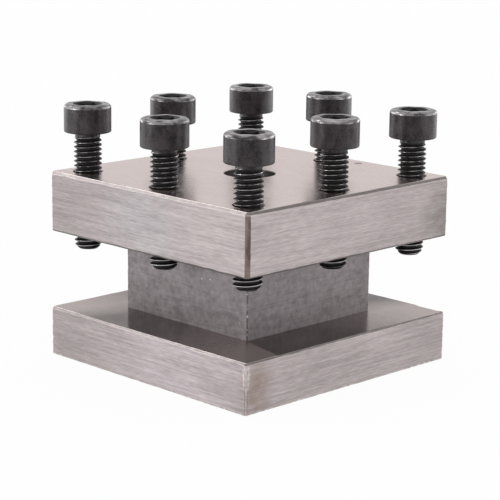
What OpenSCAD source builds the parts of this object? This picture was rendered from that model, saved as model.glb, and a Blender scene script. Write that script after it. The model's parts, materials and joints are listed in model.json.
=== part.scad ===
// Four-way lathe tool turret: a square steel block with a tool slot milled into each side,
// a bore for the stud that it turns on, and socket head screws that clamp the tools.
// Millimetres, +Z up, origin at the centre of the underside. The front side faces -Y.

/* [Block] */
// Side of the square block
block_w = 60; // [50:0.5:80]
// Thickness of the base under the tool slots
base_t = 10.6; // [6:0.1:20]
// Height of the tool slots
slot_h = 16.65; // [12:0.05:22]
// Depth of the tool slots, from the side of the block to the neck
slot_depth = 11.6; // [9:0.1:15]
// Thickness of the top plate that the screws pass through
plate_t = 12.95; // [8:0.05:16]
// Diameter of the bore for the stud
bore_d = 10.9; // [8:0.1:16]

/* [Edges] */
// Chamfer on the upright edges of the block
corner_chamfer = 0.8; // [0.2:0.1:1.5]
// Chamfer round the top face
top_chamfer = 0.6; // [0.2:0.1:1.5]
// Chamfer round the underside and along the lips of the slots
lip_chamfer = 0.4; // [0.1:0.05:0.8]
// Chamfer on the upright edges of the neck
neck_chamfer = 0.3; // [0.1:0.05:0.8]
// Chamfer at both mouths of the stud bore
bore_chamfer = 0.4; // [0.1:0.1:1]

/* [Clamp screws] */
// Distance from the sides of the block to the axes of the screws
screw_inset = 5.8; // [5:0.1:7]
// Length of a screw under its head
screw_len = 25; // [22:1:40]
// Diameter over the crests of the thread
thread_d = 5.9; // [4.9:0.1:7.9]
// Distance from one crest of the thread to the next
thread_pitch = 1; // [0.7:0.05:1.25]
// Gap all round between the crests and the hole that they run in
thread_gap = 0.1; // [0.05:0.01:0.1]
// Plain length between the head and the thread
shank_len = 0.9; // [0.6:0.1:4]
// How far the plain length lies inside the crests of the thread
shank_relief = 0.3; // [0:0.05:0.5]
// Length of the chamfer at the tip
tip_len = 0.7; // [0.3:0.1:1.5]
// Diameter of the head
head_d = 10; // [9:0.1:12]
// Height of the head
head_h = 6; // [5:0.1:8]
// Rounding of the top edge of the head
head_round = 0.8; // [0.3:0.1:1.2]
// Rounding of the bottom edge of the head
head_foot = 0.3; // [0.1:0.1:0.6]
// Fillet between the head and the shank
head_fillet = 0.4; // [0.2:0.1:0.6]
// Width of the hexagon socket across its flats
socket_w = 5; // [4:0.1:5.5]
// Depth of the flats of the hexagon socket
socket_depth = 3; // [2:0.1:4]
// Width of the bevel round the mouth of the socket
socket_bevel = 0.2; // [0.1:0.05:0.4]

/* [Rest heights] */
// Reach of the corner tips below the slot roofs: front left, front right, back right, back left
corner_reach = [3.6, 3.8, 3.9, 3.9]; // [2:0.1:8]
// Reach of the side tips below the slot roofs: front, right, back, left
side_reach = [3.8, 3.2, 3.1, 4.1]; // [2:0.1:8]

/* [Hidden] */

steel_grey = [0.69, 0.66, 0.65];
oxide_black = [0.12, 0.12, 0.13];

// Smoothness of round faces
round_steps = 96;
// Straight steps in a rounded edge of a screw
edge_steps = 5;
// How far a cutter runs past the face that it opens
overrun = 1;

block_h = base_t + slot_h + plate_t;
roof_z = base_t + slot_h;
side_y = block_w / 2;
neck_y = side_y - slot_depth;

// Basic profile of a metric thread: depth, flats and flanks as shares of the pitch
thread_r = thread_d / 2;
root_r = thread_r - 0.6134 * thread_pitch;
shank_r = thread_r - shank_relief;
crest_flat = thread_pitch / 8;
root_flat = thread_pitch / 4;
flank = (thread_pitch - crest_flat - root_flat) / 2;
thread_turns = floor((screw_len - shank_len - tip_len) / thread_pitch);
tip_r = root_r - tip_len / 2;
head_r = head_d / 2;

// The drill point under the hexagon has an included angle of 120 degrees
drill_depth = socket_w / 2 * tan(30);
socket_corner_r = socket_w / 2 / cos(30);

// The mouths of the screw holes clear the fillet under a head that is screwed right down
fillet_gap = 0.2;
hole_r = thread_r + thread_gap;
hole_chamfer = max(shank_r + head_fillet - hole_r, 0) + fillet_gap;

screw_y = side_y - screw_inset;
corner_places = [[-screw_y, -screw_y], [screw_y, -screw_y], [screw_y, screw_y], [-screw_y, screw_y]];
side_places = [[0, -screw_y], [screw_y, 0], [0, screw_y], [-screw_y, 0]];

// Points along a round edge
function arc(centre, radius, from, to) = [
    for (i = [0 : edge_steps])
        let (angle = from + (to - from) * i / edge_steps)
        centre + radius * [cos(angle), sin(angle)]
];

// One side of the thread, from the tip up
function thread_outline() = [
    for (turn = [0 : thread_turns - 1])
        let (low = tip_len - screw_len + turn * thread_pitch)
        each [
            [root_r, low],
            [thread_r, low + flank],
            [thread_r, low + flank + crest_flat],
            [root_r, low + 2 * flank + crest_flat],
        ]
];

// Half of a screw's section, with the underside of its head at height 0
function screw_outline() = concat(
    [[0, -screw_len], [tip_r, -screw_len]],
    thread_outline(),
    [[shank_r, -shank_len]],
    arc([shank_r + head_fillet, -head_fillet], head_fillet, 180, 90),
    arc([head_r - head_foot, head_foot], head_foot, -90, 0),
    arc([head_r - head_round, head_h - head_round], head_round, 0, 90),
    [[0, head_h]]
);

// Square plan of the block with its corners cut off
module plan_outline() {
    intersection() {
        square(block_w, center = true);
        rotate(45)
            square((block_w - corner_chamfer) * sqrt(2), center = true);
    }
}

// Upright section of the block with its top and bottom edges cut off
module upright_outline() {
    polygon([
        [-side_y + lip_chamfer, 0],
        [side_y - lip_chamfer, 0],
        [side_y, lip_chamfer],
        [side_y, block_h - top_chamfer],
        [side_y - top_chamfer, block_h],
        [-side_y + top_chamfer, block_h],
        [-side_y, block_h - top_chamfer],
        [-side_y, lip_chamfer],
    ]);
}

// The block before milling
module blank() {
    intersection() {
        linear_extrude(block_h)
            plan_outline();
        rotate([90, 0, 0])
            linear_extrude(block_w, center = true)
                upright_outline();
        rotate([90, 0, 90])
            linear_extrude(block_w, center = true)
                upright_outline();
    }
}

// Cutter for one tool slot, along X on the front side, with bevelled lips
module slot_cutter() {
    flare = lip_chamfer + overrun;
    rotate([90, 0, 90])
        linear_extrude(block_w + 2 * overrun, center = true)
            polygon([
                [-neck_y, base_t],
                [-side_y + lip_chamfer, base_t],
                [-side_y + lip_chamfer - flare, base_t - flare],
                [-side_y + lip_chamfer - flare, roof_z + flare],
                [-side_y + lip_chamfer, roof_z],
                [-neck_y, roof_z],
            ]);
}

// Cutter for the bevel on one upright edge of the neck
module neck_edge_cutter() {
    translate([neck_y, neck_y, base_t])
        rotate(45)
            linear_extrude(slot_h)
                square(neck_chamfer * sqrt(2), center = true);
}

// Cutter for a hole between two heights, bevelled at both mouths
module hole_cutter(radius, low, high, bevel) {
    translate([0, 0, low - overrun])
        cylinder(h = high - low + 2 * overrun, r = radius, $fn = round_steps);
    translate([0, 0, high - bevel])
        cylinder(h = bevel + overrun, r1 = radius, r2 = radius + bevel + overrun, $fn = round_steps);
    translate([0, 0, low - overrun])
        cylinder(h = bevel + overrun, r1 = radius + bevel + overrun, r2 = radius, $fn = round_steps);
}

// Hexagon socket with a drill point under it and a bevel round its mouth
module socket_cutter() {
    floor_z = head_h - socket_depth;
    translate([0, 0, floor_z])
        cylinder(h = socket_depth + overrun, r = socket_corner_r, $fn = 6);
    translate([0, 0, floor_z - drill_depth])
        cylinder(h = drill_depth, r1 = 0, r2 = socket_w / 2, $fn = round_steps);
    translate([0, 0, head_h - socket_bevel])
        cylinder(
            h = socket_bevel + overrun,
            r1 = socket_corner_r,
            r2 = socket_corner_r + socket_bevel + overrun,
            $fn = round_steps
        );
}

// A socket head screw whose tip reaches below the slot roof, turned as its thread would turn it
module clamp_screw(place, reach) {
    translate([place.x, place.y, roof_z - reach + screw_len])
        rotate(-360 * reach / thread_pitch)
            difference() {
                rotate_extrude($fn = round_steps)
                    polygon(screw_outline());
                socket_cutter();
            }
}

module turret_block() {
    color(steel_grey)
        difference() {
            blank();
            for (side = [0 : 3])
                rotate(90 * side) {
                    slot_cutter();
                    neck_edge_cutter();
                }
            hole_cutter(bore_d / 2, 0, block_h, bore_chamfer);
            for (place = concat(corner_places, side_places))
                translate([place.x, place.y, 0])
                    hole_cutter(hole_r, roof_z, block_h, hole_chamfer);
        }
}

module corner_screw_front_left() {
    color(oxide_black)
        clamp_screw(corner_places[0], corner_reach[0]);
}

module corner_screw_front_right() {
    color(oxide_black)
        clamp_screw(corner_places[1], corner_reach[1]);
}

module corner_screw_back_right() {
    color(oxide_black)
        clamp_screw(corner_places[2], corner_reach[2]);
}

module corner_screw_back_left() {
    color(oxide_black)
        clamp_screw(corner_places[3], corner_reach[3]);
}

module side_screw_front() {
    color(oxide_black)
        clamp_screw(side_places[0], side_reach[0]);
}

module side_screw_right() {
    color(oxide_black)
        clamp_screw(side_places[1], side_reach[1]);
}

module side_screw_back() {
    color(oxide_black)
        clamp_screw(side_places[2], side_reach[2]);
}

module side_screw_left() {
    color(oxide_black)
        clamp_screw(side_places[3], side_reach[3]);
}

turret_block();
corner_screw_front_left();
corner_screw_front_right();
corner_screw_back_right();
corner_screw_back_left();
side_screw_front();
side_screw_right();
side_screw_back();
side_screw_left();
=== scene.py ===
"""Looks of a four-way lathe tool turret: a linished steel block with eight black clamp screws.

Metres, +Z up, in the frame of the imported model. The front side of the block faces -Y.
"""
import json
from math import cos, pi, radians, sin, tan

import bmesh
import bpy
from mathutils import Matrix, Vector, noise


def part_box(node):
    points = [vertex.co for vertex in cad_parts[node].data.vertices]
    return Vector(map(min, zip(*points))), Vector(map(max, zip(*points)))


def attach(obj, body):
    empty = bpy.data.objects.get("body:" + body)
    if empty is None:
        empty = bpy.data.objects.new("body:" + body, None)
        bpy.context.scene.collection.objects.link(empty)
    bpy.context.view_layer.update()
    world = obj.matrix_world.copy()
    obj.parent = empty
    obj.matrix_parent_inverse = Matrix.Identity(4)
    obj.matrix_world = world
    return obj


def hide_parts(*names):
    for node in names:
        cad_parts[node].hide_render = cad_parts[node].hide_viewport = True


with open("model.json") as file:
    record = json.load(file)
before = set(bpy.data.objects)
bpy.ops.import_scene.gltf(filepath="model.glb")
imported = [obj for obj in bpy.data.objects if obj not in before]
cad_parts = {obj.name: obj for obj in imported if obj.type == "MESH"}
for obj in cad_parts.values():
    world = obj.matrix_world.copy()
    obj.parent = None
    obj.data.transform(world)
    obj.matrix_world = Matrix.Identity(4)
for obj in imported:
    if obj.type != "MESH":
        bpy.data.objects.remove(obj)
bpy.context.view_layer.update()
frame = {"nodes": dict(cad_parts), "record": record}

MM = 0.001
SCENE = bpy.context.scene
MOUNTS = {mount["name"]: mount for mount in frame["record"]["mounts"]}
SCREW_NAMES = [name for name in frame["nodes"] if "screw" in name]

# Block sizes, read from the frame
BLOCK_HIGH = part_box("turret_block")[1]
HALF = BLOCK_HIGH.x
TOP_Z = BLOCK_HIGH.z
FLOOR_Z = MOUNTS["tool_seat_front"]["pos_m"][2]
NECK_HALF = -2 * MOUNTS["tool_seat_front"]["pos_m"][1] - HALF
BORE_R = MOUNTS["stud_bore"]["dims"]["r_mm"] * MM

# Block sizes that the frame does not name
SLOT_H = 16.65 * MM
ROOF_Z = FLOOR_Z + SLOT_H
TOP_CHAMFER = 0.6 * MM
LIP = 0.4 * MM
FLOOR_EDGE = 3 * LIP
BORE_CHAMFER = 0.12 * MM
HOLE_R = 3.05 * MM
HOLE_CHAMFER = 0.2 * MM

# Softness of the block's edges
PLATE_CORNER = (0.86 * MM, 0.07 * MM)
BASE_CORNER = (0.5 * MM, 0.22 * MM)
NECK_CORNER = (0.28 * MM, 0.07 * MM)
THINNEST_CUT = 0.12 * MM
MOST_BEND = 0.7
CHAMFER_BEND = 0.14
CUT_NARROWING = 1.3
LIP_WEAR = 0.3
CHAMFER_WEAR = 0.12
WEAR_SCALE = 0.45 / MM
NECK_WEAR = 0.55
BASE_WEAR = 0.4
PLATE_WEAR = 0.12
CUT_WEAR_SCALE = 0.9 / MM
EDGE_NOISE_STEP = 7
EDGE_NOISE_ROW = 3
LEVEL_STEP = 0.6 * MM
WORN_END_X = 22.7 * MM
WORN_END_SHARE = 2.2

# Marks on the block and patches of painted light on it: places and reaches in millimetres, grain in waves
# per metre
BROWN_STAIN = (31, -26.8, 4.5)
BROWN_REACH = 6
BROWN_FLATNESS = 0.55
BROWN_STRENGTH = 0.9
SCUFF = (30, -30, 8)
SCUFF_REACH = 1.9
SCUFF_FLATNESS = 0.3
SCUFF_GRAIN = (1500, 1500, 1500)
SCUFF_EDGE = (0.2, 0.4)
# Painted sheens: a lighter cool patch mid-way along the plate's front wall and a lighter violet patch on
# the base's front wall
COOL_PAINTED_SHEEN = (-1, -30, 33)
COOL_REACH = 17
VIOLET_PAINTED_SHEEN = (10, -30, 3)
VIOLET_REACH = 28
PAINTED_SHEEN_GRAIN = (110, 110, 110)
# Painted shade: a dark patch at the plate's back right corner, where the right wall ends
PAINTED_SHADE_SPOT = (30, 30, 31)
PAINTED_SHADE_REACH = 13
PAINTED_SHADE_STRENGTH = 0.6
DOT = (7, 26.5, 40.2)
DOT_REACH = 1.3
DOT_EDGE = (0.1, 0.2)

# Painted light at one end of each slot floor, on a duller pass of the cutter: front, right, back and left
PAINTED_LIGHT_PASS_ACROSS = Vector((0.2235, 0.9747, 0))
PAINTED_LIGHT_PASS_ALONG = Vector((1, 0, 0))
PAINTED_LIGHT_PASS_ENDS = (-13.9 * MM, -11 * MM, -13.9 * MM, -13 * MM)
PAINTED_LIGHT_PASS_BLURS = (0.3 * MM, 4 * MM, 0.3 * MM, 4.5 * MM)
PAINTED_LIGHT_PASS_FADE = (0 * MM, 24 * MM)
DULL_ROUGHNESS = 0.16

# Steps round the block's outline and in its edges
SIDE_STEPS = 48
BREAK_STEPS = 3
SIDE_POINTS = SIDE_STEPS - 1
CORNER_POINTS = 2 * (BREAK_STEPS + 1)
POINTS_PER_SIDE = SIDE_POINTS + CORNER_POINTS
BORE_STEPS = 72
HOLE_STEPS = 48
SHARP_ANGLE = radians(38)

# Screw sizes
PITCH = 1.0 * MM
THREAD_R = 2.95 * MM
THREAD_DEPTH = 0.6134 * PITCH
ROOT_R = THREAD_R - THREAD_DEPTH
CREST_SHARE = 1 / 8
ROOT_SHARE = 1 / 4
SHANK_LEN = 0.9 * MM
SHANK_R = 2.65 * MM
TIP_R = 2.0 * MM
TIP_SLOPE = 1.0
TIP_WEAR_AND_HIGHLIGHT = 3 * MM
HEAD_R = 5.0 * MM
HEAD_H = 6.0 * MM
HEAD_ROUND = 0.8 * MM
HEAD_FOOT = 0.3 * MM
HEAD_FILLET = 0.4 * MM
HEAD_WAVE = 0.07 * MM
SOCKET_W = 5.0 * MM
SOCKET_DEPTH = 3.0 * MM
SOCKET_BEVEL = 0.2 * MM
HEXAGON = 6
SOCKET_CORNER_R = SOCKET_W / 2 / cos(pi / HEXAGON)
DRILL_R = 2.45 * MM
DRILL_SLOPE = radians(30)
DRILL_DEPTH = DRILL_R * tan(DRILL_SLOPE)
SCREW_STEPS = 48
ROWS_PER_TURN = 16
ARC_STEPS = 6

# Camera of the photograph, with its lens and sensor in millimetres
LENS = 128.55
SENSOR_WIDTH = 36
CLIP_START = 10 * MM
CAMERA_AZIMUTH = radians(45.21)
CAMERA_ELEVATION = radians(12.77)
CAMERA_ROLL = radians(0.74)
CAMERA_DISTANCE = 381.6 * MM
CAMERA_TARGET = Vector((0.2, 0.2, 23.53)) * MM

# Studio
WHITE = (1, 1, 1, 1)
FLOOR_GREY = (0.86, 0.86, 0.86, 1)
FLOOR_HALF = 4
FLOOR_DROP = 0.02 * MM
FLOOR_GLOW = 0.95

# Lamps: angles in degrees, sizes in metres
SIDE_PANEL = {"elevation": 8, "distance": 0.3, "width": 0.05, "height": 0.12}
RIM_PANEL = {"elevation": 8, "distance": 0.45, "width": 0.28, "height": 0.24}
KEY_PANEL = {"elevation": 43, "distance": 0.43, "width": 0.16, "height": 0.16}
TOP_PANEL = {"elevation": 85, "distance": 0.6, "width": 0.6, "height": 0.6}

# Finishes of the block, by the index of their material
LINISHED, GROUND, MILLED, NECK, EDGE, CORNER, DRILLED, RUBBED, PAINTED_REFLECTION_EDGE = range(9)

# Finishes of the screws, by the index of their material
OXIDE, RIM, FLANK, CREST = range(4)

# Sockets of a colour mix, which shares its names with other kinds of mix
MIX_FACTOR, MIX_FIRST, MIX_SECOND = 0, 6, 7
MIX_RESULT = 2

# Range in which a noise mostly lies
NOISE_LOW, NOISE_HIGH = 0.35, 0.65


def node(tree, kind, inputs=None, **settings):
    """A shader node with its settings, and its inputs set to values or linked to sockets."""
    made = tree.nodes.new("ShaderNode" + kind)
    for name, value in settings.items():
        setattr(made, name, value)
    for name, value in (inputs or {}).items():
        if isinstance(value, bpy.types.NodeSocket):
            tree.links.new(value, made.inputs[name])
        else:
            made.inputs[name].default_value = value
    return made


def new_material(name):
    """An empty material, with its node tree."""
    material = bpy.data.materials.new(name)
    material.use_nodes = True
    material.node_tree.nodes.clear()
    return material, material.node_tree


def place(tree, scale, offset=(0, 0, 0)):
    """Coordinates on the piece, scaled by waves per metre along each axis."""
    coordinates = node(tree, "TexCoord").outputs["Object"]
    mapping = node(tree, "Mapping", {"Vector": coordinates, "Scale": scale, "Location": offset})
    return mapping.outputs["Vector"]


def noise_at(tree, scale, detail=3, roughness=0.55, offset=(0, 0, 0)):
    """Noise with its own scale along each axis."""
    inputs = {"Vector": place(tree, scale, offset), "Scale": 1, "Detail": detail, "Roughness": roughness}
    return node(tree, "TexNoise", inputs).outputs["Fac"]


def spread(tree, value, low, high, to_low, to_high):
    """The value moved from one range to another, and kept inside it."""
    inputs = {"Value": value, "From Min": low, "From Max": high, "To Min": to_low, "To Max": to_high}
    return node(tree, "MapRange", inputs).outputs["Result"]


def ranged(tree, value, to_low, to_high):
    """A noise moved from the range in which it mostly lies to another one."""
    return spread(tree, value, NOISE_LOW, NOISE_HIGH, to_low, to_high)


def combine(tree, operation, first, second):
    """Two numbers put together."""
    return node(tree, "Math", {0: first, 1: second}, operation=operation).outputs["Value"]


def weighted(tree, first, second, share):
    """Two numbers added, with the given share of the first and the rest of the second."""
    part = combine(tree, "MULTIPLY", first, share)
    rest = combine(tree, "MULTIPLY", second, 1 - share)
    return combine(tree, "ADD", part, rest)


def blend_colours(tree, share, first, second):
    """A colour between two others."""
    inputs = {MIX_FACTOR: share, MIX_FIRST: first, MIX_SECOND: second}
    return node(tree, "Mix", inputs, data_type="RGBA").outputs[MIX_RESULT]


def rgb(red, green, blue):
    """A colour in linear values."""
    return (red, green, blue, 1)


def bump(tree, height, strength, depth):
    """A surface normal that follows a height, whose full range is the given depth."""
    inputs = {"Height": height, "Strength": strength, "Distance": depth}
    return node(tree, "Bump", inputs).outputs["Normal"]


def surface(tree, **inputs):
    """The shader of a material, joined to its output. Names of sockets have _ for a space."""
    sockets = {name.replace("_", " "): value for name, value in inputs.items()}
    shader = node(tree, "BsdfPrincipled", sockets).outputs["BSDF"]
    node(tree, "OutputMaterial", {"Surface": shader})


def stain_and_painted_light(tree, centre, reach, flatness=1, grain=(260, 260, 420), edge=(0.1, 0.45)):
    """Share of a ragged patch round a place on the block, given in millimetres: used for stains and marks
    and for patches of painted light.

    A flatness below 1 draws the patch out along Z.
    """
    middle = Vector((centre[0], centre[1], centre[2] * flatness)) * MM
    away = node(tree, "VectorMath", {0: place(tree, (1, 1, flatness)), 1: middle}, operation="DISTANCE")
    ragged = noise_at(tree, grain, detail=3, offset=centre)
    inside = spread(tree, away.outputs["Value"], 0, reach * MM, 1, 0)
    return spread(tree, combine(tree, "MULTIPLY", inside, ragged), *edge, 0, 1)


def linished_colour(tree, share):
    """Colour of the side walls: two painted sheens over the lines, then a brown stain, the scuffed corner
    and a spot of painted shade.
    """
    warm = blend_colours(tree, share, rgb(0.28, 0.246, 0.247), rgb(0.47, 0.413, 0.416))
    # Painted sheens: lighter cool and violet copies of the wall colour
    cool = blend_colours(tree, share, rgb(0.28, 0.261, 0.266), rgb(0.47, 0.438, 0.448))
    violet = blend_colours(tree, share, rgb(0.325, 0.285, 0.296), rgb(0.545, 0.479, 0.498))
    plate = blend_colours(tree, stain_and_painted_light(tree, COOL_PAINTED_SHEEN, COOL_REACH, grain=PAINTED_SHEEN_GRAIN), warm, cool)
    clean = blend_colours(tree, stain_and_painted_light(tree, VIOLET_PAINTED_SHEEN, VIOLET_REACH, grain=PAINTED_SHEEN_GRAIN), plate, violet)
    brown = combine(tree, "MULTIPLY", stain_and_painted_light(tree, BROWN_STAIN, BROWN_REACH, BROWN_FLATNESS), BROWN_STRENGTH)
    # Painted shade at the plate's back right corner
    dark = combine(tree, "MULTIPLY", stain_and_painted_light(tree, PAINTED_SHADE_SPOT, PAINTED_SHADE_REACH), PAINTED_SHADE_STRENGTH)
    scuff = stain_and_painted_light(tree, SCUFF, SCUFF_REACH, SCUFF_FLATNESS, SCUFF_GRAIN, SCUFF_EDGE)
    stained = blend_colours(tree, brown, clean, rgb(0.25, 0.19, 0.16))
    scuffed = blend_colours(tree, scuff, stained, rgb(0.56, 0.5, 0.48))
    return blend_colours(tree, dark, scuffed, rgb(0.19, 0.165, 0.16))


def linished_steel():
    """Side walls: fine lines along each side from a linishing belt, with two painted sheens, a brown stain,
    a spot of painted shade and a scuffed corner.
    """
    material, tree = new_material("linished_steel")
    fine = noise_at(tree, (430, 430, 5200), detail=3, roughness=0.6)
    coarse = noise_at(tree, (80, 80, 2400), detail=3, offset=(3, 5, 7))
    cloud = noise_at(tree, (60, 60, 120), detail=2, offset=(9, 2, 4))
    lines = weighted(tree, fine, coarse, 0.5)
    tone = weighted(tree, lines, cloud, 0.8)
    share = spread(tree, tone, 0.38, 0.62, 0, 1)
    surface(
        tree,
        Base_Color=linished_colour(tree, share),
        Metallic=1,
        Roughness=ranged(tree, coarse, 0.36, 0.44),
        Anisotropic=0.85,
        Anisotropic_Rotation=0.25,
        Tangent=node(tree, "Tangent", direction_type="RADIAL", axis="Z").outputs["Tangent"],
        Normal=bump(tree, lines, 0.3, 0.02 * MM),
    )
    return material


def ground_steel():
    """Top and underside: surface ground along one direction, with one dark dot."""
    material, tree = new_material("ground_steel")
    fine = noise_at(tree, (120, 3200, 120), detail=3)
    cloud = noise_at(tree, (90, 130, 90), detail=3, offset=(4, 1, 2))
    tone = weighted(tree, fine, cloud, 0.5)
    share = ranged(tree, tone, 0, 1)
    clean = blend_colours(tree, share, rgb(0.44, 0.394, 0.387), rgb(0.55, 0.497, 0.487))
    dot = stain_and_painted_light(tree, DOT, DOT_REACH, edge=DOT_EDGE)
    surface(
        tree,
        Base_Color=blend_colours(tree, dot, clean, rgb(0.05, 0.045, 0.045)),
        Metallic=1,
        Specular_Tint=rgb(1, 0.93, 0.915),
        Roughness=ranged(tree, cloud, 0.22, 0.3),
        Normal=bump(tree, fine, 0.25, 0.01 * MM),
    )
    return material


def distance_along(tree, way):
    """How far a place on the block lies along a direction."""
    coordinates = node(tree, "TexCoord").outputs["Object"]
    return node(tree, "VectorMath", {0: coordinates, 1: way}, operation="DOT_PRODUCT").outputs["Value"]


def dull_pass_and_painted_light(tree):
    """Share of the duller pass and its painted light at one end of each slot: it stops there and fades
    along the slot.
    """
    shares = []
    for side, (end, blur) in enumerate(zip(PAINTED_LIGHT_PASS_ENDS, PAINTED_LIGHT_PASS_BLURS)):
        turn = Matrix.Rotation(side * pi / 2, 3, "Z")
        across = distance_along(tree, turn @ PAINTED_LIGHT_PASS_ACROSS)
        along = distance_along(tree, turn @ PAINTED_LIGHT_PASS_ALONG)
        inside = spread(tree, across, end - blur, end + blur, 1, 0)
        shares.append(combine(tree, "MULTIPLY", inside, spread(tree, along, *PAINTED_LIGHT_PASS_FADE, 0, 1)))
    front, right, back, left = shares
    front_or_right = combine(tree, "MAXIMUM", front, right)
    back_or_left = combine(tree, "MAXIMUM", back, left)
    return combine(tree, "MAXIMUM", front_or_right, back_or_left)


def milled_steel():
    """Floors and roofs of the tool slots: a smooth milled face, dark with painted shade and oil, duller and
    with painted light where the cutter started.
    """
    material, tree = new_material("milled_steel")
    cloud = noise_at(tree, (150, 150, 150), detail=3)
    swirl = noise_at(tree, (500, 500, 500), detail=2, offset=(2, 7, 3))
    share = ranged(tree, cloud, 0, 1)
    # Painted shade, with oil: the dark colour of the slot faces under the plate
    oil_and_painted_shade = blend_colours(tree, share, rgb(0.11, 0.098, 0.096), rgb(0.15, 0.134, 0.131))
    # Painted light, with a duller pass: the bright colour at one end of each slot floor
    dull = dull_pass_and_painted_light(tree)
    smooth = ranged(tree, swirl, 0.13, 0.19)
    roughness = combine(tree, "ADD", smooth, combine(tree, "MULTIPLY", dull, DULL_ROUGHNESS))
    surface(
        tree,
        Base_Color=blend_colours(tree, dull, oil_and_painted_shade, rgb(0.47, 0.413, 0.404)),
        Metallic=1,
        Specular_Tint=rgb(0.75, 0.73, 0.725),
        Roughness=roughness,
        Normal=bump(tree, swirl, 0.15, 0.01 * MM),
    )
    return material


def neck_steel():
    """Sides of the neck: dull and mottled, with bright specks."""
    material, tree = new_material("neck_steel")
    mottle = noise_at(tree, (900, 900, 900), detail=3, roughness=0.6)
    lines = noise_at(tree, (150, 150, 2300), detail=2, offset=(1, 2, 3))
    smudge = noise_at(tree, (230, 230, 300), detail=3, offset=(7, 3, 5))
    grain = weighted(tree, mottle, lines, 0.72)
    tone = weighted(tree, grain, smudge, 0.78)
    share = spread(tree, tone, 0.37, 0.63, 0, 1)
    dull = blend_colours(tree, share, rgb(0.151, 0.137, 0.141), rgb(0.27, 0.245, 0.253))
    cells = node(tree, "TexVoronoi", {"Vector": place(tree, (800, 800, 800)), "Scale": 1})
    near = spread(tree, cells.outputs["Distance"], 0.06, 0.17, 1, 0)
    picked = node(tree, "SeparateColor", {"Color": cells.outputs["Color"]}).outputs["Red"]
    chosen = spread(tree, picked, 0.95, 0.97, 0, 1)
    specks = combine(tree, "MULTIPLY", near, chosen)
    surface(
        tree,
        Base_Color=blend_colours(tree, specks, dull, rgb(0.52, 0.49, 0.485)),
        Metallic=1,
        Roughness=ranged(tree, mottle, 0.45, 0.56),
        Normal=bump(tree, tone, 0.5, 0.03 * MM),
    )
    return material


def edge_steel():
    """Chamfers and lips: grey steel, rubbed bright here and there."""
    material, tree = new_material("edge_steel")
    rub = noise_at(tree, (600, 600, 600), detail=4, roughness=0.6)
    share = spread(tree, rub, 0.4, 0.7, 0, 1)
    surface(
        tree,
        Base_Color=blend_colours(tree, share, rgb(0.155, 0.137, 0.133), rgb(0.2, 0.179, 0.173)),
        Metallic=1,
        Roughness=ranged(tree, rub, 0.33, 0.29),
        Normal=bump(tree, rub, 0.03, 0.02 * MM),
    )
    return material


def corner_steel():
    """Flats on the upright corners of the plate: brown-grey."""
    material, tree = new_material("corner_steel")
    stained = noise_at(tree, (700, 700, 260), detail=4, roughness=0.6)
    share = ranged(tree, stained, 0, 1)
    surface(
        tree,
        Base_Color=blend_colours(tree, share, rgb(0.125, 0.089, 0.08), rgb(0.27, 0.208, 0.19)),
        Metallic=1,
        Roughness=ranged(tree, stained, 0.42, 0.34),
        Normal=bump(tree, stained, 0.4, 0.03 * MM),
    )
    return material


def rubbed_steel():
    """Upright corners of the base and its lower edge: rounded off and rough."""
    material, tree = new_material("rubbed_steel")
    rough = noise_at(tree, (900, 900, 700), detail=4, roughness=0.65)
    tarnish = noise_at(tree, (150, 150, 150), detail=2, offset=(5, 8, 1))
    share = ranged(tree, rough, 0, 1)
    grey = blend_colours(tree, share, rgb(0.3, 0.268, 0.262), rgb(0.68, 0.63, 0.615))
    brown = spread(tree, tarnish, 0.5, 0.65, 0, 0.5)
    surface(
        tree,
        Base_Color=blend_colours(tree, brown, grey, rgb(0.42, 0.33, 0.28)),
        Metallic=1,
        Roughness=ranged(tree, rough, 0.45, 0.34),
        Normal=bump(tree, rough, 0.6, 0.05 * MM),
    )
    return material


def burr_steel():
    """Upright edges of the neck: a dark ragged line, a painted dark reflection, with bright specks."""
    material, tree = new_material("burr_steel")
    ragged = noise_at(tree, (1100, 1100, 1300), detail=3, roughness=0.6)
    # Painted reflection: dark colour on the neck's corner flats, with bright specks
    share = spread(tree, ragged, 0.52, 0.7, 0, 1)
    surface(
        tree,
        Base_Color=blend_colours(tree, share, rgb(0.13, 0.12, 0.118), rgb(0.6, 0.57, 0.56)),
        Metallic=1,
        Roughness=ranged(tree, ragged, 0.55, 0.4),
        Normal=bump(tree, ragged, 0.6, 0.05 * MM),
    )
    return material


def drilled_steel():
    """Walls of the stud bore and of the screw holes: darker, painted shade inside the holes, with rings
    from the drill.
    """
    material, tree = new_material("drilled_steel")
    rings = noise_at(tree, (40, 40, 2600), detail=2)
    share = ranged(tree, rings, 0, 1)
    # Painted shade: the hole walls are coloured darker than the block's faces
    surface(
        tree,
        Base_Color=blend_colours(tree, share, rgb(0.12, 0.109, 0.104), rgb(0.2, 0.184, 0.176)),
        Metallic=1,
        Roughness=ranged(tree, rings, 0.35, 0.5),
        Normal=bump(tree, rings, 0.5, 0.03 * MM),
    )
    return material


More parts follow.
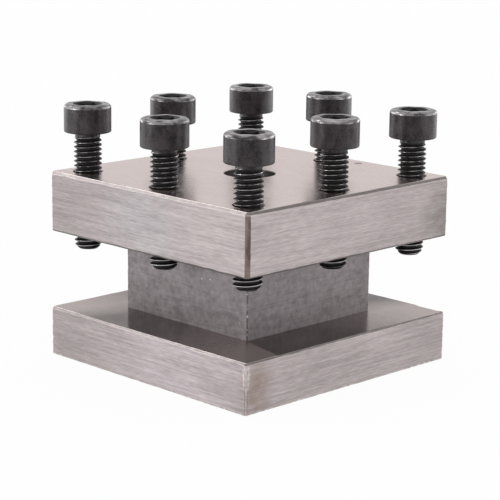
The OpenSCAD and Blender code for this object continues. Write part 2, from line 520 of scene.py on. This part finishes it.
def black_oxide():
    """Black oxide on the heads: satin, uneven, with light scratches."""
    material, tree = new_material("black_oxide")
    cloud = noise_at(tree, (520, 520, 300), detail=4, roughness=0.65)
    grain = noise_at(tree, (3000, 3000, 3000), detail=2)
    scratch = noise_at(tree, (500, 500, 2600), detail=3, offset=(6, 1, 4))
    share = ranged(tree, cloud, 0, 1)
    dark = blend_colours(tree, share, rgb(0.003, 0.0014, 0.002), rgb(0.012, 0.007, 0.009))
    rubbed = spread(tree, scratch, 0.66, 0.74, 0, 0.6)
    tone = weighted(tree, cloud, grain, 0.6)
    surface(
        tree,
        Base_Color=blend_colours(tree, rubbed, dark, rgb(0.06, 0.057, 0.06)),
        Metallic=0,
        IOR=1.42,
        Specular_IOR_Level=spread(tree, tone, 0.38, 0.62, 0.38, 0.9),
        Specular_Tint=rgb(1, 0.93, 0.96),
        Roughness=ranged(tree, tone, 0.36, 0.5),
        Normal=bump(tree, tone, 0.6, 0.03 * MM),
    )
    return material


def worn_rim():
    """Top faces and top edges of the heads, where the oxide is worn in patches; the bright patches are also
    a painted highlight.
    """
    material, tree = new_material("worn_rim")
    wear = noise_at(tree, (420, 420, 900), detail=3, roughness=0.6)
    # Painted highlight and wear: bright patches on the rims
    share = spread(tree, wear, 0.38, 0.62, 0, 1)
    surface(
        tree,
        Base_Color=blend_colours(tree, share, rgb(0.055, 0.05, 0.053), rgb(0.27, 0.253, 0.26)),
        Metallic=1,
        Roughness=ranged(tree, wear, 0.4, 0.3),
        Normal=bump(tree, wear, 0.4, 0.04 * MM),
    )
    return material


def oily_oxide():
    """Flanks and roots of the threads and insides of the sockets: blacker and duller than the heads,
    painted shade in these hollows as well as oily oxide.
    """
    material, tree = new_material("oily_oxide")
    cloud = noise_at(tree, (900, 900, 900), detail=3)
    share = ranged(tree, cloud, 0, 1)
    # Painted shade with oil: low reflectance keeps roots, flanks and socket insides black
    surface(
        tree,
        Base_Color=blend_colours(tree, share, rgb(0.012, 0.0106, 0.0108), rgb(0.022, 0.0196, 0.02)),
        Metallic=0,
        IOR=1.24,
        Roughness=ranged(tree, cloud, 0.4, 0.55),
        Normal=bump(tree, cloud, 0.3, 0.02 * MM),
    )
    return material


def rubbed_oxide():
    """Crests of the threads, where the oxide is rubbed off in places and worn away near the tips; their
    bright colour is also a painted highlight, brightest below the plate.
    """
    material, tree = new_material("rubbed_oxide")
    coordinates = node(tree, "TexCoord").outputs["Object"]
    height = node(tree, "SeparateXYZ", {"Vector": coordinates}).outputs["Z"]
    # Painted highlight and wear: the crests below the plate, near the tips, are coloured bright
    near_tip = spread(tree, height, ROOF_Z - TIP_WEAR_AND_HIGHLIGHT, ROOF_Z, 1, 0)
    rub = noise_at(tree, (700, 700, 700), detail=3, roughness=0.6)
    share = spread(tree, rub, 0.4, 0.62, 0, 1)
    # Painted highlight and wear: bright crest colour in patches
    rubbed = blend_colours(tree, share, rgb(0.06, 0.056, 0.057), rgb(0.34, 0.324, 0.33))
    surface(
        tree,
        Base_Color=blend_colours(tree, near_tip, rubbed, rgb(0.55, 0.53, 0.54)),
        Metallic=1,
        Roughness=ranged(tree, rub, 0.4, 0.28),
        Normal=bump(tree, rub, 0.3, 0.02 * MM),
    )
    return material


def soft_break(before, corner, after):
    """Points of a small curve that rounds the corner between two straight runs."""
    shares = [step / BREAK_STEPS for step in range(BREAK_STEPS + 1)]
    return [before.lerp(corner, t).lerp(corner.lerp(after, t), t) for t in shares]


def outline(half, cuts, soft):
    """Square plan with cut corners, from the front left corner round past the front side.

    cuts holds the cut at the end of the front, right, back and left side.
    """
    points = []
    bends = [min(soft, cut * MOST_BEND) for cut in cuts]
    for side in range(4):
        cut = cuts[side]
        bend = bends[side]
        start = Vector((-half + cuts[side - 1], -half))
        leave = Vector((half - cut, -half))
        arrive = Vector((half, -half + cut))
        slant = (arrive - leave).normalized()
        along = Vector((1, 0))
        last = leave - along * bend
        first = start + along * bends[side - 1]
        run = [first.lerp(last, step / SIDE_STEPS) for step in range(1, SIDE_STEPS)]
        run += soft_break(last, leave, leave + slant * bend)
        run += soft_break(arrive - slant * bend, arrive, arrive + Vector((0, bend)))
        turn = Matrix.Rotation(side * pi / 2, 2)
        points += [turn @ point for point in run]
    return points


def at_height(points, z):
    """An outline put at a height."""
    return [Vector((point.x, point.y, z)) for point in points]


def inset_outline(inset, corner_cut, soft):
    """Outline of the block moved inwards, with corner cuts that narrow on the way."""
    cut = max(corner_cut - CUT_NARROWING * inset, THINNEST_CUT)
    return outline(HALF - inset, [cut] * 4, soft)


def round_edge():
    """Section of a rounded edge: how far in and how far from the flat face, as shares of its size."""
    angles = [pi / 2 * step / BREAK_STEPS for step in range(BREAK_STEPS + 1)]
    return [(1 - cos(angle), 1 - sin(angle)) for angle in angles]


def chamfer_edge():
    """Section of a chamfer with softened ends, as shares of its size."""
    soft = CHAMFER_BEND
    wall = soft_break(Vector((0, 1 + soft)), Vector((0, 1)), Vector((soft, 1 - soft)))
    flat = soft_break(Vector((1 - soft, soft)), Vector((1, 0)), Vector((1 + soft, 0)))
    return [tuple(point) for point in wall + flat]


def wear_at(point, z, amount):
    """Size of an edge at a place on it, as a share of its plain size."""
    share = 1 + amount * noise.noise(Vector((point.x, point.y, z)) * WEAR_SCALE)
    on_back_lip = (z == FLOOR_Z) and (point.y > HALF - LIP)
    on_worn_end = on_back_lip and (point.x > WORN_END_X)
    return share * WORN_END_SHARE if on_worn_end else share


def edge_rings(size, z, away, corner, section, wear):
    """Rings of points along an edge between a side wall and the flat face at height z.

    away is 1 where the wall is above the face and -1 where it is below it. corner holds the cut of
    the upright corners and their softness.
    """
    wall = inset_outline(0, *corner)
    flat = inset_outline(size, *corner)
    sizes = [wear_at(point, z, wear) for point in wall]
    rings = []
    for inward, distance in section:
        ring = []
        for outer, inner, share in zip(wall, flat, sizes):
            point = outer.lerp(inner, inward * share)
            ring.append(Vector((point.x, point.y, z + away * size * distance * share)))
        rings.append(ring)
    return rings


def wall_rings(half, low, high, corner, wear):
    """Rings of points up a wall whose upright edges are unevenly broken.

    corner holds the cut of the upright edges and their softness.
    """
    cut, soft = corner
    levels = round((high - low) / LEVEL_STEP)
    rings = []
    for level in range(levels + 1):
        z = low + (high - low) * level / levels
        spots = [Vector((edge * EDGE_NOISE_STEP, EDGE_NOISE_ROW, z * CUT_WEAR_SCALE)) for edge in range(4)]
        cuts = [cut * (1 + wear * noise.noise(spot)) for spot in spots]
        rings.append(at_height(outline(half, cuts, soft), z))
    return rings


def circle(centre, radius, z, steps):
    """A level ring of points round a centre."""
    angles = [2 * pi * step / steps for step in range(steps)]
    return [Vector((centre.x + radius * cos(a), centre.y + radius * sin(a), z)) for a in angles]


def add_ring(mesh, points):
    """New vertices of a mesh at the points of a ring."""
    return [mesh.verts.new(point) for point in points]


def on_flat(index):
    """Whether the strip after this point of an outline is the flat of a cut corner."""
    return index % POINTS_PER_SIDE == SIDE_POINTS + BREAK_STEPS


def bridge(mesh, lower, upper, finish, flat_finish=None):
    """Faces between two rings of as many points. The flats of cut corners may have their own finish."""
    for index in range(len(lower)):
        after = (index + 1) % len(lower)
        face = mesh.faces.new((lower[index], lower[after], upper[after], upper[index]))
        face.material_index = finish
        if flat_finish is not None and on_flat(index):
            face.material_index = flat_finish


def bridge_all(mesh, rings, finish, flat_finish=None):
    """Faces between each ring and the next."""
    for lower, upper in zip(rings, rings[1:]):
        bridge(mesh, lower, upper, finish, flat_finish)


def chamfer(mesh, rings, wall_finish, flat_finish):
    """Faces of a chamfer whose softened ends take the finish of the faces next to them."""
    bridge_all(mesh, rings[:BREAK_STEPS + 1], wall_finish)
    bridge_all(mesh, rings[BREAK_STEPS:BREAK_STEPS + 2], EDGE)
    bridge_all(mesh, rings[BREAK_STEPS + 1:], flat_finish)


def fill_face(mesh, loops, finish):
    """A level face inside the first loop, with the other loops as holes in it."""
    edges = []
    for loop in loops:
        for first, second in zip(loop, loop[1:] + loop[:1]):
            edges.append(mesh.edges.get((first, second)) or mesh.edges.new((first, second)))
    made = bmesh.ops.triangle_fill(mesh, use_beauty=True, edges=edges)
    for item in made["geom"]:
        if isinstance(item, bmesh.types.BMFace):
            item.material_index = finish


def hole(mesh, centre, radius, low, high, bevel, steps):
    """Wall of a round hole with a bevel at both mouths. Gives its lower and upper ring."""
    sizes = [(radius + bevel, low), (radius, low + bevel), (radius, high - bevel), (radius + bevel, high)]
    rings = [add_ring(mesh, circle(centre, size, z, steps)) for size, z in sizes]
    bridge_all(mesh, rings, DRILLED)
    return rings[0], rings[-1]


def screw_centre(name):
    """Middle of a screw, on its axis."""
    low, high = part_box(name)
    return (low + high) / 2


def finish_piece(mesh, name, materials):
    """A smooth object from a mesh, with crisp edges kept crisp."""
    bmesh.ops.recalc_face_normals(mesh, faces=mesh.faces)
    data = bpy.data.meshes.new(name)
    mesh.to_mesh(data)
    mesh.free()
    for material in materials:
        data.materials.append(material)
    data.shade_smooth()
    data.set_sharp_from_angle(angle=SHARP_ANGLE)
    piece = bpy.data.objects.new(name, data)
    SCENE.collection.objects.link(piece)
    shading = piece.modifiers.new("flat_faces", "WEIGHTED_NORMAL")
    shading.keep_sharp = True
    return piece


def build_block():
    """The block: base, neck and plate in one piece, with the stud bore and the screw holes."""
    mesh = bmesh.new()
    foot = edge_rings(LIP, 0, 1, BASE_CORNER, round_edge(), LIP_WEAR)
    floor_lip = edge_rings(LIP, FLOOR_Z, -1, BASE_CORNER, chamfer_edge(), LIP_WEAR)
    roof_lip = edge_rings(LIP, ROOF_Z, 1, PLATE_CORNER, round_edge(), LIP_WEAR)
    top_edge = edge_rings(TOP_CHAMFER, TOP_Z, -1, PLATE_CORNER, chamfer_edge(), CHAMFER_WEAR)
    base = wall_rings(HALF, 2 * LIP, FLOOR_Z - 2 * LIP, BASE_CORNER, BASE_WEAR)
    neck = wall_rings(NECK_HALF, FLOOR_Z, ROOF_Z, NECK_CORNER, NECK_WEAR)
    plate = wall_rings(HALF, ROOF_Z + 2 * LIP, TOP_Z - 2 * TOP_CHAMFER, PLATE_CORNER, PLATE_WEAR)
    foot, base, floor_lip, neck, roof_lip, plate, top_edge = [
        [add_ring(mesh, ring) for ring in rings]
        for rings in (foot, base, floor_lip, neck, roof_lip, plate, top_edge)
    ]
    floor_edge = add_ring(mesh, at_height(inset_outline(FLOOR_EDGE, *BASE_CORNER), FLOOR_Z))
    bridge_all(mesh, foot, RUBBED)
    bridge_all(mesh, foot[:1] + base + floor_lip[:1], LINISHED, RUBBED)
    chamfer(mesh, floor_lip, LINISHED, MILLED)
    bridge_all(mesh, [floor_lip[-1], floor_edge, neck[0]], MILLED)
    bridge_all(mesh, neck, NECK, PAINTED_REFLECTION_EDGE)
    bridge_all(mesh, roof_lip, EDGE)
    bridge_all(mesh, roof_lip[:1] + plate + top_edge[:1], LINISHED, CORNER)
    chamfer(mesh, top_edge, LINISHED, GROUND)

    bore = hole(mesh, Vector((0, 0)), BORE_R, 0, TOP_Z, BORE_CHAMFER, BORE_STEPS)
    holes = [
        hole(mesh, screw_centre(name), HOLE_R, ROOF_Z, TOP_Z, HOLE_CHAMFER, HOLE_STEPS)
        for name in SCREW_NAMES
    ]
    fill_face(mesh, [foot[-1], bore[0]], GROUND)
    fill_face(mesh, [roof_lip[-1], neck[-1]] + [low for low, high in holes], MILLED)
    fill_face(mesh, [top_edge[-1], bore[1]] + [high for low, high in holes], GROUND)

    materials = [
        linished_steel(), ground_steel(), milled_steel(), neck_steel(), edge_steel(), corner_steel(),
        drilled_steel(), rubbed_steel(), burr_steel(),
    ]
    piece = finish_piece(mesh, "dressed_turret_block", materials)
    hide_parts("turret_block")
    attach(piece, "turret")


def thread_radius(rise, above_tip, below_end):
    """Radius of the thread at a rise along its helix, cut down at the tip and run out at its end."""
    share = rise / PITCH % 1
    flank = (1 - CREST_SHARE - ROOT_SHARE) / 2
    height = min(share - ROOT_SHARE / 2, 1 - ROOT_SHARE / 2 - share) / flank
    radius = ROOT_R + THREAD_DEPTH * min(max(height, 0), 1)
    tip = TIP_R + TIP_SLOPE * above_tip
    run_out = min(below_end / PITCH, 1)
    return min(SHANK_R + (radius - SHANK_R) * run_out, tip)


def on_crest(row):
    """Whether the strip above this row of the thread is on its crest."""
    share = (row + 0.5) / ROWS_PER_TURN % 1
    return abs(share - 0.5) < CREST_SHARE / 2


def thread(mesh, axis, tip_z, end_z, turn):
    """Helical thread as a grid whose rows climb one pitch a turn. Gives its lowest and highest ring."""
    length = end_z - tip_z
    step = PITCH / ROWS_PER_TURN
    rows = ROWS_PER_TURN + int((length + PITCH) / step) + 1
    angles = [2 * pi * column / SCREW_STEPS + turn for column in range(SCREW_STEPS)]
    low = add_ring(mesh, [axis + Vector((TIP_R * cos(a), TIP_R * sin(a), tip_z)) for a in angles])
    high = add_ring(mesh, [axis + Vector((SHANK_R * cos(a), SHANK_R * sin(a), end_z)) for a in angles])
    grid = []
    for column, angle in enumerate(angles):
        verts = []
        for row in range(rows + 1):
            rise = row * step + PITCH * column / SCREW_STEPS - PITCH
            if rise <= 0:
                verts.append(low[column])
            elif rise >= length:
                verts.append(high[column])
            else:
                radius = thread_radius(row * step, rise, length - rise)
                spot = axis + Vector((radius * cos(angle), radius * sin(angle), tip_z + rise))
                verts.append(mesh.verts.new(spot))
        grid.append(verts)
    # The column after the last is the first one again, a turn of rows further on
    grid.append(grid[0][ROWS_PER_TURN:])
    for left, right in zip(grid, grid[1:]):
        for row in range(len(right) - 1):
            # Corners that fall together at the tip and at the end count once
            corners = list(dict.fromkeys([left[row], right[row], right[row + 1], left[row + 1]]))
            if len(corners) > 2:
                face = mesh.faces.new(corners)
                face.material_index = CREST if on_crest(row) else FLANK
    return low, high


def arc(centre_r, centre_z, radius, start, end):
    """Points of a rounded edge in a screw's section, as radius and height."""
    angles = [start + (end - start) * step / ARC_STEPS for step in range(ARC_STEPS + 1)]
    return [(centre_r + radius * cos(a), centre_z + radius * sin(a)) for a in angles]


def head_side():
    """Half of the head's section, from the shank up to the start of its rim."""
    return (
        arc(SHANK_R + HEAD_FILLET, -HEAD_FILLET, HEAD_FILLET, pi, pi / 2)
        + arc(HEAD_R - HEAD_FOOT, HEAD_FOOT, HEAD_FOOT, -pi / 2, 0)
        + [(HEAD_R, HEAD_H - HEAD_ROUND)]
    )


def head_rim():
    """Section of the rounded top edge of the head, which starts where the side ends."""
    return arc(HEAD_R - HEAD_ROUND, HEAD_H - HEAD_ROUND, HEAD_ROUND, 0, pi / 2)[1:]


def hexagon_radius(angle):
    """Distance from the axis to the wall of the hexagon socket."""
    half_side = pi / HEXAGON
    from_flat = (angle + half_side) % (2 * half_side) - half_side
    return SOCKET_W / 2 / cos(from_flat)


def build_screw(name, materials):
    """One socket head screw, turned as its thread would turn it."""
    low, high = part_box(name)
    axis = Vector(((low.x + high.x) / 2, (low.y + high.y) / 2, 0))
    under_head = high.z - HEAD_H
    turn = -2 * pi * (ROOF_Z - low.z) / PITCH
    angles = [2 * pi * step / SCREW_STEPS for step in range(SCREW_STEPS)]
    mesh = bmesh.new()

    def ring_of(sizes):
        """A ring with its own radius and height above the underside of the head at each step."""
        spots = [(r * cos(a + turn), r * sin(a + turn), under_head + z) for (r, z), a in zip(sizes, angles)]
        return add_ring(mesh, [axis + Vector(spot) for spot in spots])

    def head_ring(radius, z):
        """A ring of the head, which dips between the corners of the hexagon near the top."""
        rise = max(z - HEAD_H + HEAD_ROUND, 0) / HEAD_ROUND
        dips = [HEAD_WAVE * rise * (1 - cos(HEXAGON * angle)) / 2 for angle in angles]
        return ring_of([(radius, z - dip) for dip in dips])

    tip, thread_end = thread(mesh, axis, low.z, under_head - SHANK_LEN, turn)
    side = [thread_end] + [head_ring(radius, z) for radius, z in head_side()]
    rim = side[-1:] + [head_ring(radius, z) for radius, z in head_rim()]
    rings = rim[-1:] + [head_ring(SOCKET_CORNER_R + SOCKET_BEVEL, HEAD_H)]
    hexagon = [hexagon_radius(angle) for angle in angles]
    mouth_z = HEAD_H - SOCKET_BEVEL - HEAD_WAVE - SOCKET_CORNER_R
    rings.append(ring_of([(radius, mouth_z + radius) for radius in hexagon]))
    rings.append(ring_of([(radius, HEAD_H - SOCKET_DEPTH) for radius in hexagon]))
    rings.append(ring_of([(DRILL_R, HEAD_H - SOCKET_DEPTH)] * SCREW_STEPS))
    bridge_all(mesh, side, OXIDE)
    bridge_all(mesh, rim, RIM)
    bridge_all(mesh, rings[:2], RIM)
    bridge_all(mesh, rings[1:], FLANK)
    point = mesh.verts.new(axis + Vector((0, 0, under_head + HEAD_H - SOCKET_DEPTH - DRILL_DEPTH)))
    for first, second in zip(rings[-1], rings[-1][1:] + rings[-1][:1]):
        mesh.faces.new((first, second, point)).material_index = FLANK
    mesh.faces.new(tip)

    piece = finish_piece(mesh, "dressed_" + name, materials)
    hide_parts(name)
    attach(piece, name)


def seen_rays(tree):
    """1 for rays that show a surface directly, in a reflection or through glass, and 0 for the rest."""
    rays = node(tree, "LightPath").outputs
    seen = combine(tree, "MAXIMUM", rays["Is Camera Ray"], rays["Is Glossy Ray"])
    return combine(tree, "MAXIMUM", seen, rays["Is Transmission Ray"])


def build_world():
    """A plain white studio."""
    world = bpy.data.worlds.new("studio")
    SCENE.world = world
    world.use_nodes = True
    tree = world.node_tree
    tree.nodes.clear()
    white = node(tree, "Background", {"Color": WHITE, "Strength": 1})
    node(tree, "OutputWorld", {"Surface": white.outputs[0]})


def build_floor():
    """A pale floor that keeps a soft shadow."""
    mesh = bmesh.new()
    bmesh.ops.create_grid(mesh, x_segments=1, y_segments=1, size=FLOOR_HALF)
    data = bpy.data.meshes.new("floor")
    mesh.to_mesh(data)
    mesh.free()
    floor = bpy.data.objects.new("floor", data)
    floor.location.z = -FLOOR_DROP
    SCENE.collection.objects.link(floor)
    material, tree = new_material("floor")
    matt = node(tree, "BsdfDiffuse", {"Color": FLOOR_GREY})
    glow = node(tree, "Emission", {"Color": WHITE, "Strength": 1})
    share = combine(tree, "MULTIPLY", seen_rays(tree), FLOOR_GLOW)
    mixed = node(tree, "MixShader", {0: share, 1: matt.outputs[0], 2: glow.outputs[0]})
    node(tree, "OutputMaterial", {"Surface": mixed.outputs[0]})
    data.materials.append(material)


def build_lamp(name, azimuth, brightness, elevation, distance, width, height):
    """A soft box that faces the block and shows in its metal. Its brightness is given as times white."""
    data = bpy.data.lights.new(name, "AREA")
    data.shape = "RECTANGLE"
    data.size = width
    data.size_y = height
    data.energy = brightness * pi * width * height
    lamp = bpy.data.objects.new(name, data)
    turn, rise = radians(azimuth), radians(elevation)
    towards = Vector((cos(turn) * cos(rise), sin(turn) * cos(rise), sin(rise)))
    lamp.location = CAMERA_TARGET + towards * distance
    lamp.rotation_euler = towards.to_track_quat("Z", "Y").to_euler()
    lamp.visible_diffuse = False
    SCENE.collection.objects.link(lamp)


def build_camera():
    """The photograph's view, with its small roll."""
    data = bpy.data.cameras.new("camera")
    data.lens = LENS
    data.sensor_width = SENSOR_WIDTH
    data.clip_start = CLIP_START
    camera = bpy.data.objects.new("camera", data)
    level = cos(CAMERA_ELEVATION)
    back = Vector((
        sin(CAMERA_AZIMUTH) * level,
        -cos(CAMERA_AZIMUTH) * level,
        sin(CAMERA_ELEVATION),
    ))
    turn = back.to_track_quat("Z", "Y").to_matrix() @ Matrix.Rotation(CAMERA_ROLL, 3, "Z")
    camera.matrix_world = Matrix.Translation(CAMERA_TARGET + back * CAMERA_DISTANCE) @ turn.to_4x4()
    SCENE.collection.objects.link(camera)
    SCENE.camera = camera


build_camera()
build_world()
build_floor()
build_lamp("left_panel", azimuth=-109, brightness=11, **SIDE_PANEL)
build_lamp("left_strip", azimuth=-131, brightness=1.9, **SIDE_PANEL)
build_lamp("right_panel", azimuth=20, brightness=5, **SIDE_PANEL)
build_lamp("right_strip", azimuth=40, brightness=1.8, **SIDE_PANEL)
build_lamp("left_rim", azimuth=-171, brightness=3.6, **RIM_PANEL)
build_lamp("right_rim", azimuth=81, brightness=3.8, **RIM_PANEL)
build_lamp("key", azimuth=-159, brightness=4, **KEY_PANEL)
build_lamp("overhead", azimuth=0, brightness=0.6, **TOP_PANEL)
build_block()
oxides = [black_oxide(), worn_rim(), oily_oxide(), rubbed_oxide()]
for screw_name in SCREW_NAMES:
    build_screw(screw_name, oxides)

SCENE.view_settings.view_transform = "Standard"
